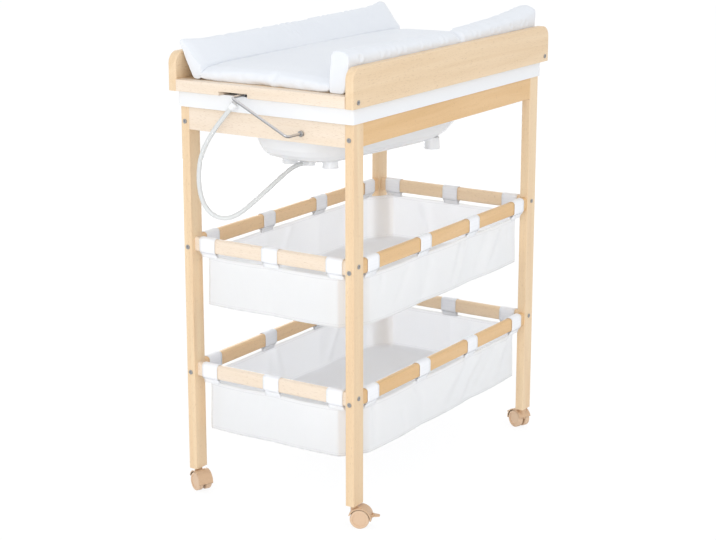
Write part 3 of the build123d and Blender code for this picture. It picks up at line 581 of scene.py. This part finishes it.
# %% Folds of the walls
upper_folds = [
    ((0.385, 0.012), (0.335, 0.088), 0.0085, -0.0077), ((0.400, 0.015), (0.352, 0.092), 0.0080, 0.0045),
    ((0.505, 0.008), (0.450, 0.092), 0.0120, -0.0067), ((0.573, 0.008), (0.512, 0.082), 0.0100, -0.0067),
    ((0.540, 0.010), (0.485, 0.090), 0.0090, 0.0049), ((0.158, 0.012), (0.100, 0.082), 0.0110, -0.0067),
    ((0.050, 0.014), (0.034, 0.050), 0.0080, -0.0049), ((0.245, 0.030), (0.215, 0.095), 0.0160, -0.0040),
    ((0.610, 0.000), (0.598, 0.040), 0.0070, -0.0045), ((1.985, 0.012), (1.993, 0.060), 0.0120, -0.0040),
    ((1.915, 0.020), (1.925, 0.085), 0.0160, -0.0032), ((2.085, 0.015), (2.072, 0.070), 0.0140, -0.0036),
    ((1.180, 0.020), (1.215, 0.090), 0.0140, -0.0058), ((1.450, 0.012), (1.480, 0.080), 0.0120, -0.0054),
    ((0.780, 0.015), (0.800, 0.085), 0.0140, -0.0049), ((0.960, 0.015), (0.945, 0.080), 0.0120, -0.0045),
]
lower_folds = [
    ((0.392, 0.012), (0.300, 0.070), 0.0100, 0.0063), ((0.410, 0.020), (0.330, 0.090), 0.0100, -0.0054),
    ((0.472, 0.008), (0.376, 0.095), 0.0120, 0.0072), ((0.500, 0.010), (0.405, 0.095), 0.0110, -0.0058),
    ((0.546, 0.008), (0.450, 0.092), 0.0095, -0.0077), ((0.600, 0.004), (0.530, 0.082), 0.0090, 0.0063),
    ((0.620, 0.008), (0.570, 0.080), 0.0080, -0.0054), ((0.190, 0.012), (0.220, 0.050), 0.0100, -0.0049),
    ((0.128, 0.055), (0.140, 0.085), 0.0090, -0.0036), ((0.018, 0.010), (0.020, 0.085), 0.0080, -0.0054),
    ((1.990, 0.012), (1.975, 0.075), 0.0120, -0.0040), ((2.100, 0.020), (2.120, 0.080), 0.0140, -0.0036),
    ((1.905, 0.015), (1.890, 0.070), 0.0120, -0.0036), ((1.250, 0.015), (1.290, 0.090), 0.0140, -0.0058),
    ((1.520, 0.012), (1.490, 0.080), 0.0120, -0.0054), ((0.820, 0.015), (0.835, 0.085), 0.0140, -0.0049),
]
fold_fade = 0.5
faint_wave = 0.0004
faint_along, faint_down = 0.171, 0.30


def fold_offset(along, down, folds):
    """How far the cloth stands out at a place, from its folds (metres)."""
    offset = faint_wave * math.sin(2 * math.pi * (along / faint_along + down / faint_down))
    for start, end, width, height in folds:
        way_along, way_down = end[0] - start[0], end[1] - start[1]
        length_squared = way_along ** 2 + way_down ** 2
        share = ((along - start[0]) * way_along + (down - start[1]) * way_down) / length_squared
        share = min(1.0, max(0.0, share))
        gap = math.hypot(along - start[0] - share * way_along, down - start[1] - share * way_down)
        offset += height * math.exp(-(gap / width) ** 2) * (1 - fold_fade * share)
    return offset


# %% Shape of a basket wall
bay_columns = 30
wall_rows = 22
edge_droop = 0.002
bay_bulge, bay_bulge_more, bulge_turn = 0.0012, 0.0045, 0.8
corner_bulge, corner_bulge_more = 0.001, 0.002
flat_share = 0.15
seam_hold = 0.75
loop_reach, loop_pull = 0.022, -0.0014


def wall_point(bay, share, down_share, along, top, bottom, folds):
    """A point of the wall, from the top edge at 0 down to the floor seam at 1."""
    flat, outward, is_cut, length = outline_point(bay, share)
    across = math.sin(math.pi * share)
    droop = edge_droop * across * (1 - down_share)
    bulge = (bay_bulge + bay_bulge_more * math.sin(math.pi * down_share * bulge_turn)) * across
    if is_cut:
        bulge = (corner_bulge + corner_bulge_more * smooth_step(down_share)) * across
    near_seam = smooth_step((down_share - (1 - flat_share)) / flat_share)
    hold = smooth_step(down_share / flat_share) * (1 - seam_hold * near_seam)
    raised = fold_offset(along, down_share * (top - bottom), folds) * hold
    near_loop = math.exp(-(min(share, 1 - share) * length / loop_reach) ** 2)
    pull = loop_pull * near_loop * (1 - down_share) * hold
    height = top - droop - (top - droop - bottom) * down_share
    place = flat + outward * (bulge + raised + pull)
    return Vector((place.x, place.y, height))


def basket_columns():
    """The columns of the wall, as (bay, share of it, distance round), and the whole way round."""
    columns = []
    along = 0.0
    for bay in range(len(basket_corners)):
        length = outline_point(bay, 0)[3]
        for step in range(bay_columns):
            share = step / bay_columns
            columns.append((bay, share, along + length * step / bay_columns))
        along += length
    return columns, along


# %% Shape of a basket floor
floor_rows = 10
seam_curve_share, seam_drop_share = 0.35, 0.8
floor_ripple = 0.0015
ripple_along, ripple_inward = 30.0, 7.0


def floor_ring(shape, seam, inward, sag, phase):
    """A ring of the floor, drawn in from the seam towards the middle."""
    curve = smooth_step(min(1.0, inward / seam_curve_share))
    drop = sag * (curve * seam_drop_share + (1 - seam_drop_share) * inward)
    ring = []
    for x, y, z in [vert.co for vert in seam]:
        ripple = floor_ripple * math.sin(ripple_along * x + ripple_inward * inward + phase) * inward
        ring.append(shape.verts.new((x * (1 - inward), y * (1 - inward), z - drop + ripple)))
    return ring


# %% From verts to a piece


def add_face(shape, uv, verts, places):
    """A smooth face with a UV place for each of its corners."""
    face = shape.faces.new(verts)
    face.smooth = True
    for loop, place in zip(face.loops, places):
        loop[uv].uv = place


def piece_from(name, shape, material=None):
    """A new piece from a finished shape."""
    mesh = bpy.data.meshes.new(name)
    shape.to_mesh(mesh)
    shape.free()
    piece = bpy.data.objects.new(name, mesh)
    scene.collection.objects.link(piece)
    if material:
        mesh.materials.append(material)
    return piece


# %% Build a basket
floor_uv_shift = 2


def on_floor(vert):
    """The UV place of a point of the floor, well away from those of the wall."""
    return vert.co.x, vert.co.y + floor_uv_shift


def build_basket(name, top, bottom, sag, folds, phase):
    """The cloth of one basket as a single sheet with a UV map in metres."""
    shape = bmesh.new()
    uv = shape.loops.layers.uv.new("UVMap")
    columns, way_round = basket_columns()
    rings = []
    for row in range(wall_rows + 1):
        down = row / wall_rows
        rings.append([shape.verts.new(wall_point(bay, share, down, along, top, bottom, folds))
                      for bay, share, along in columns])
    for row in range(1, floor_rows):
        rings.append(floor_ring(shape, rings[wall_rows], row / floor_rows, sag, phase))
    around = [along for bay, share, along in columns] + [way_round]
    depths = [row / wall_rows * (top - bottom) for row in range(wall_rows + 1)]
    for row, (upper, lower) in enumerate(zip(rings, rings[1:])):
        for column in range(len(columns)):
            after = (column + 1) % len(columns)
            verts = (upper[column], lower[column], lower[after], upper[after])
            if row < wall_rows:
                left, right = around[column], around[column + 1]
                places = ((left, depths[row]), (left, depths[row + 1]),
                          (right, depths[row + 1]), (right, depths[row]))
            else:
                places = [on_floor(vert) for vert in verts]
            add_face(shape, uv, verts, places)
    middle = shape.verts.new((0, 0, bottom - sag))
    for column in range(len(columns)):
        verts = (rings[-1][column], middle, rings[-1][(column + 1) % len(columns)])
        add_face(shape, uv, verts, [on_floor(vert) for vert in verts])
    shape.normal_update()
    return piece_from(name, shape, basket_cloth)


# %% Helpers for modifiers


def apply_modifiers(piece):
    """Apply every modifier of one piece."""
    bpy.ops.object.select_all(action="DESELECT")
    piece.select_set(True)
    bpy.context.view_layer.objects.active = piece
    for modifier in list(piece.modifiers):
        bpy.ops.object.modifier_apply(modifier=modifier.name)


def thicken(piece, thickness):
    """Give a sheet its thickness, half on each side."""
    modifier = piece.modifiers.new("thickness", "SOLIDIFY")
    modifier.thickness = thickness
    modifier.offset = 0.0
    modifier.use_even_offset = True
    apply_modifiers(piece)


# %% [markdown]
# A loop is a folded band of the same cloth. It starts on the outside of the wall, goes over
# the rail and comes down inside, and the pull of the basket keeps it tight round the rail's
# rounded corners. The bands are swept along that path, a little slack at their edges.

# %% Strap loops
rail_half_high, rail_half_thick, rail_corner = 0.016, 0.008, 0.006
band_gap = 0.0011
band_lift = 0.0005
band_steps = 6
band_row = 0.004
tail_out = (0.0010, 0.0012, 0.0026)
tail_bend_share, under_rail = 0.7, 0.004
turn_out, turn_down = 0.0024, 0.0002
tight_below = 0.003


def loop_path(level, tail):
    """The middle line of a band round a rail, as (out, up) from the wall plane."""
    half_thick = rail_half_thick + band_gap
    half_high = rail_half_high + band_gap
    radius = rail_corner + band_gap
    below = level - half_high
    half = [(tail_out[0], below - tail), (tail_out[1], below - tail * tail_bend_share),
            (tail_out[2], below - under_rail), (half_thick - turn_out, below - turn_down)]
    for first_angle, centre_up in ((-90, below + radius), (0, level + half_high - radius)):
        for step in range(band_steps + 1):
            angle = math.radians(first_angle + 90 * step / band_steps)
            half.append((half_thick - radius + radius * math.cos(angle),
                         centre_up + radius * math.sin(angle)))
    return half + [(-out, up) for out, up in reversed(half)]


def build_strap(shape, uv, centre, outward, level, width, tail):
    """One band, added to a shared shape."""
    sideways = Vector((-outward.y, outward.x, 0))
    grid = []
    for out, up in loop_path(level, tail):
        line = []
        for step in range(band_steps + 1):
            across = step / band_steps * 2 - 1
            slack = band_lift * across ** 4 * (1 if out > 0 else -1)
            if up < level - rail_half_high - tight_below:
                slack = 0.0
            place = centre + sideways * (across * width / 2) + outward * (out + slack)
            line.append(shape.verts.new((place.x, place.y, up)))
        grid.append(line)
    for index in range(len(grid) - 1):
        for step in range(band_steps):
            corners = ((index, step), (index, step + 1), (index + 1, step + 1), (index + 1, step))
            places = [(side / band_steps * width, row * band_row) for row, side in corners]
            add_face(shape, uv, [grid[row][side] for row, side in corners], places)


# %% All the bands of a basket
band_tail = 0.011
long_band, end_band = 0.045, 0.041
band_thickness = 0.0009


def build_straps(name, level):
    """All the bands of one basket in one piece."""
    shape = bmesh.new()
    uv = shape.loops.layers.uv.new("UVMap")
    for x in long_straps:
        for side in (-1, 1):
            centre, outward = Vector((x, side * leg_y, 0)), Vector((0, side, 0))
            build_strap(shape, uv, centre, outward, level, long_band, band_tail)
    for y in end_straps:
        for side in (-1, 1):
            centre, outward = Vector((side * leg_x, y, 0)), Vector((side, 0, 0))
            build_strap(shape, uv, centre, outward, level, end_band, band_tail)
    bmesh.ops.recalc_face_normals(shape, faces=shape.faces)
    piece = piece_from(name, shape, strap_cloth)
    thicken(piece, band_thickness)
    return piece


# %% Both baskets
hem_below_rail = 0.007
floor_seam_below = 0.133
floor_sag = 0.013
cloth_thickness = 0.0010
upper_level, lower_level = 0.567, 0.282
storeys = (("upper", upper_level, upper_folds, 0.8), ("lower", lower_level, lower_folds, 2.6))
for storey, level, folds, phase in storeys:
    edge = level - rail_half_high - hem_below_rail
    seam = level - floor_seam_below
    walls = build_basket(storey + "_basket_cloth", edge, seam, floor_sag, folds, phase)
    thicken(walls, cloth_thickness)
    straps = build_straps(storey + "_basket_straps", level)
    for piece in (walls, straps):
        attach(piece, "frame")
    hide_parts(storey + "_basket")
    print(storey, "basket faces", len(walls.data.polygons), "band faces", len(straps.data.polygons))

# %% [markdown]
# The changing pad is three foam pieces sewn side by side in one coated white cover: a flat
# middle, a thin wedge that leans out over the far board, and a square bolster that stands
# against the near board. Each starts as a lofted block a little smaller than the real one. A
# voxel remesh gives it even faces, and a short cloth simulation with air pressure and a cover a
# little too large for the foam swells and wrinkles it. The swelling is capped, so that the
# edges stay as crisp as foam edges are.

# %% Pad blocks
pad_low = 0.9306
pad_end = 0.3995
flat_thickness, flat_crown = 0.027, 0.007


def flat_outline(height):
    """Cross-section of the flat middle, as (y, z), with a low crown."""
    crown = flat_crown * height / flat_thickness
    return [(-0.160, 0.0), (-0.08, 0.0), (0.0, 0.0), (0.09, 0.0), (0.168, 0.0),
            (0.166, height * 0.5), (0.163, height), (0.11, height + crown * 0.65),
            (0.0, height + crown), (-0.11, height + crown * 0.65), (-0.160, height),
            (-0.161, height * 0.5)]


def far_outline(height):
    """Cross-section of the far wedge, which leans outward."""
    return [(0.1655, 0.0), (0.181, 0.0), (0.197, 0.029), (0.2085, 0.055), (0.2185, height - 0.008),
            (0.217, height), (0.208, height - 0.004), (0.188, (height - 0.028) * 0.5 + 0.028),
            (0.164, 0.029), (0.162, 0.012)]


def near_outline(height):
    """Cross-section of the near bolster, nearly square and upright."""
    return [(-0.1625, 0.0), (-0.1640, height * 0.5), (-0.1665, height - 0.003), (-0.176, height),
            (-0.190, height + 0.001), (-0.2055, height - 0.004), (-0.2090, height - 0.012),
            (-0.2080, height * 0.5), (-0.1975, 0.0)]


def pad_block(name, stations, outline):
    """A block lofted through cross-sections, given as (place along X, height)."""
    shape = bmesh.new()
    rings = []
    for along, height in stations:
        rings.append([shape.verts.new((along, y, pad_low + z)) for y, z in outline(height)])
    for before, after in zip(rings, rings[1:]):
        for index in range(len(before)):
            following = (index + 1) % len(before)
            shape.faces.new((before[index], after[index], after[following], before[following]))
    shape.faces.new(rings[0])
    shape.faces.new(list(reversed(rings[-1])))
    bmesh.ops.triangulate(shape, faces=[face for face in shape.faces if len(face.verts) > 4])
    bmesh.ops.recalc_face_normals(shape, faces=shape.faces)
    return piece_from(name, shape)


pad_flat = pad_block("changing_pad_flat", [
    (-pad_end, 0.009), (-0.392, 0.015), (-0.375, 0.021), (-0.33, 0.0255), (-0.2, 0.027),
    (0.0, 0.028), (0.2, 0.028), (0.33, 0.0265), (0.375, 0.022), (0.392, 0.016),
    (pad_end, 0.010)], flat_outline)
pad_far = pad_block("changing_pad_far_side", [
    (-pad_end, 0.080), (-0.385, 0.083), (-0.14, 0.085), (0.05, 0.085), (0.24, 0.088), (0.385, 0.091),
    (pad_end, 0.087)], far_outline)
pad_near = pad_block("changing_pad_near_side", [
    (-pad_end, 0.083), (-0.388, 0.086), (-0.14, 0.088), (0.020, 0.086), (0.038, 0.080), (0.046, 0.074),
    (0.056, 0.082), (0.080, 0.087), (0.24, 0.093), (0.385, 0.104), (pad_end, 0.098)], near_outline)
pad_pieces = [pad_flat, pad_far, pad_near]

# %% Swell the pad
face_size = 0.005
last_frame = 20
pad_starts = {}
for piece in pad_pieces:
    remesh = piece.modifiers.new("even faces", "REMESH")
    remesh.mode = "VOXEL"
    remesh.voxel_size = face_size
    apply_modifiers(piece)
    pad_starts[piece.name] = [vert.co.copy() for vert in piece.data.vertices]
    print(piece.name, "faces after remesh", len(piece.data.polygons))
for piece in pad_pieces:
    settings = piece.modifiers.new("cover", "CLOTH").settings
    settings.quality = 5
    settings.mass = 0.3
    settings.tension_stiffness = 15
    settings.compression_stiffness = 8
    settings.shear_stiffness = 5
    settings.bending_stiffness = 0.08
    settings.shrink_min = -0.035
    settings.use_pressure = True
    settings.uniform_pressure_force = 3.5
    settings.effector_weights.gravity = 0
scene.frame_start, scene.frame_end = 1, last_frame
for frame_number in range(1, last_frame + 1):
    scene.frame_set(frame_number)
for piece in pad_pieces:
    apply_modifiers(piece)
scene.frame_set(1)

# %% Cap the swelling
pad_cap = 0.005
for piece in pad_pieces:
    for vert, first in zip(piece.data.vertices, pad_starts[piece.name]):
        moved = vert.co - first
        if moved.length > pad_cap:
            moved *= pad_cap / moved.length
        vert.co = first + moved
    finer = piece.modifiers.new("finer", "SUBSURF")
    finer.levels = 1
    finer.render_levels = 1
    apply_modifiers(piece)

# %% [markdown]
# The cover is pinched here and there where it is sewn: short creases run down from the upper
# edges, and the near bolster has one deep fold where its foam is cut. A crease is a short line
# with a width and a depth, and the surface near it sinks along its own normal. Each crease of
# the sides is given by its place along the pad, how far its lower end leans, and its depth.

# %% Creases in the far wedge


def pad_point(x, y, up):
    """A point of the pad, by its height above the underside."""
    return Vector((x, y, pad_low + up))


far_top, far_low = pad_point(0, 0.2185, 0.087), pad_point(0, 0.176, 0.045)
far_pinches = (
    (-0.052, 0.012, 0.55, 0.0045, 0.0032), (-0.030, 0.020, 0.75, 0.0040, 0.0034),
    (-0.016, 0.030, 0.45, 0.0040, 0.0026), (-0.110, -0.020, 0.50, 0.0050, 0.0022),
    (0.118, 0.016, 0.40, 0.0045, 0.0024), (0.135, 0.024, 0.50, 0.0040, 0.0026),
    (0.222, -0.012, 0.45, 0.0045, 0.0026), (0.236, 0.014, 0.35, 0.0040, 0.0022),
    (-0.270, 0.030, 0.40, 0.0060, 0.0018), (0.320, -0.020, 0.50, 0.0060, 0.0016),
)
far_creases = []
for along, lean, reach, width, depth in far_pinches:
    start = Vector((along, far_top.y, far_top.z))
    end = Vector((along + lean, far_top.y + (far_low.y - far_top.y) * reach,
                  far_top.z + (far_low.z - far_top.z) * reach))
    far_creases.append((start, end, width, depth))

# %% Creases in the near bolster
deep_fold = (pad_point(0.040, -0.166, 0.082), pad_point(0.050, -0.209, 0.070), 0.0060, 0.0070)
bolster_in, bolster_out, bolster_rise = -0.170, -0.209, 0.02
pinch_width, end_pinch_width = 0.0045, 0.0032
near_pinches = (
    (-0.372, 0.012, 0.0039), (-0.345, -0.010, 0.0033), (-0.300, 0.018, 0.0039),
    (-0.262, 0.006, 0.0030), (-0.236, 0.020, 0.0045), (-0.180, -0.012, 0.0033),
    (-0.140, 0.014, 0.0042), (-0.095, 0.004, 0.0030), (-0.060, 0.018, 0.0039),
    (-0.012, -0.008, 0.0042), (0.022, 0.012, 0.0033), (0.085, 0.016, 0.0042),
    (0.120, 0.004, 0.0033), (0.162, 0.020, 0.0045), (0.205, 0.010, 0.0036),
    (0.250, 0.022, 0.0042), (0.310, 0.012, 0.0033), (0.352, -0.006, 0.0036),
)
end_pinches = ((-0.171, 0.004, 0.0030), (-0.184, -0.003, 0.0024), (-0.197, 0.004, 0.0026))
near_creases = [deep_fold]
for along, lean, depth in near_pinches:
    start = pad_point(along, bolster_in, 0.089 + bolster_rise * max(0.0, along))
    end = pad_point(along + lean, bolster_out, 0.070)
    near_creases.append((start, end, pinch_width, depth))
for side, lean, depth in end_pinches:
    start = pad_point(-pad_end, side, 0.080)
    end = pad_point(-pad_end, side + lean, 0.028)
    near_creases.append((start, end, end_pinch_width, depth))

# %% Creases in the flat middle
flat_width, flat_depth = 0.0060, 0.0016
flat_pinches = ((0.120, 0.05, 0.012), (0.060, 0.07, -0.010), (-0.020, 0.05, 0.010),
                (-0.090, 0.08, -0.012), (-0.135, 0.05, 0.006))
flat_creases = []
for side, reach, lean in flat_pinches:
    start = pad_point(-pad_end, side, 0.014)
    end = pad_point(-pad_end + reach, side + lean, 0.027)
    flat_creases.append((start, end, flat_width, flat_depth))

# %% Press the creases
crease_reach = 0.12
crease_fade = 0.55
lip_share, lip_place = 0.3, 2.2


def press_creases(piece, creases):
    """Sink the surface along lines of (start, end, width, depth), with a low lip beside each."""
    mesh = piece.data
    normals = [vert.normal.copy() for vert in mesh.vertices]
    for vert, normal in zip(mesh.vertices, normals):
        sink = 0.0
        for start, end, width, depth in creases:
            if abs(vert.co.x - start.x) > crease_reach:
                continue
            way = end - start
            share = min(1.0, max(0.0, (vert.co - start).dot(way) / way.length_squared))
            gap = (vert.co - start - way * share).length
            sink += depth * (1 - crease_fade * share) * math.exp(-(gap / width) ** 2)
            sink -= lip_share * depth * math.exp(-((gap - lip_place * width) / width) ** 2)
        vert.co -= normal * sink


press_creases(pad_flat, flat_creases)
press_creases(pad_far, far_creases)
press_creases(pad_near, near_creases)

# %% Fit the pad in the tray
board_top = 0.988
board_room = 0.2133
for piece in pad_pieces:
    for vert in piece.data.vertices:
        vert.co.z = max(vert.co.z, pad_low)
        vert.co.x = min(pad_end, max(-pad_end, vert.co.x))
        if vert.co.z < board_top:
            vert.co.y = min(board_room, max(-board_room, vert.co.y))
    for face in piece.data.polygons:
        face.use_smooth = True
    low = [round(min(vert.co[axis] for vert in piece.data.vertices), 4) for axis in range(3)]
    high = [round(max(vert.co[axis] for vert in piece.data.vertices), 4) for axis in range(3)]
    print(piece.name, "faces", len(piece.data.polygons), "box", low, high)

# %% [markdown]
# The cover is coated cloth, smooth and a little shiny, over wide soft dents and finer creases.
# Its height is the sum of a wide noise, the cells of a smooth Voronoi pattern and a very fine
# noise for the coating. These are too shallow for geometry, so they go into the Bump node.

# %% Pad cover group
sharp_share, coating_share = 0.5, 0.02
cover_group, cover_in, cover_out = new_group(
    "cover creases", [("Vector", "NodeSocketVector", None)], [("Height", "NodeSocketFloat")])
links = cover_group.links
own_place = {"Vector": cover_in.outputs["Vector"]}
wide = node(cover_group, "ShaderNodeTexNoise", own_place,
            Scale=9.0, Detail=3.0, Roughness=0.5, Distortion=1.2)
sharp = node(cover_group, "ShaderNodeTexVoronoi", own_place, Scale=14.0, feature="SMOOTH_F1")
coating = node(cover_group, "ShaderNodeTexNoise", own_place, Scale=900.0, Detail=2.0)
creased = math_node(cover_group, "MULTIPLY_ADD", sharp.outputs["Distance"], sharp_share,
                    wide.outputs["Fac"])
height = math_node(cover_group, "MULTIPLY_ADD", coating.outputs["Fac"], coating_share, creased)
links.new(height, cover_out.inputs["Height"])

# %% Pad cover material
pad_cover, shader = mottled("pad cover", (0.83, 0.85, 0.88), (0.79, 0.81, 0.85),
                            scale=9, smooth=0.42, rough=0.55, bump=0.5, distance=0.004)
tree = pad_cover.node_tree
own_place = {"Vector": tree.nodes["Texture Coordinate"].outputs["Object"]}
creases = node(tree, "ShaderNodeGroup", own_place, node_tree=cover_group)
tree.links.new(creases.outputs["Height"], tree.nodes["Bump"].inputs["Height"])
for piece in pad_pieces:
    piece.data.materials.clear()
    piece.data.materials.append(pad_cover)
    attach(piece, "tray")
    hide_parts("changing_pad")
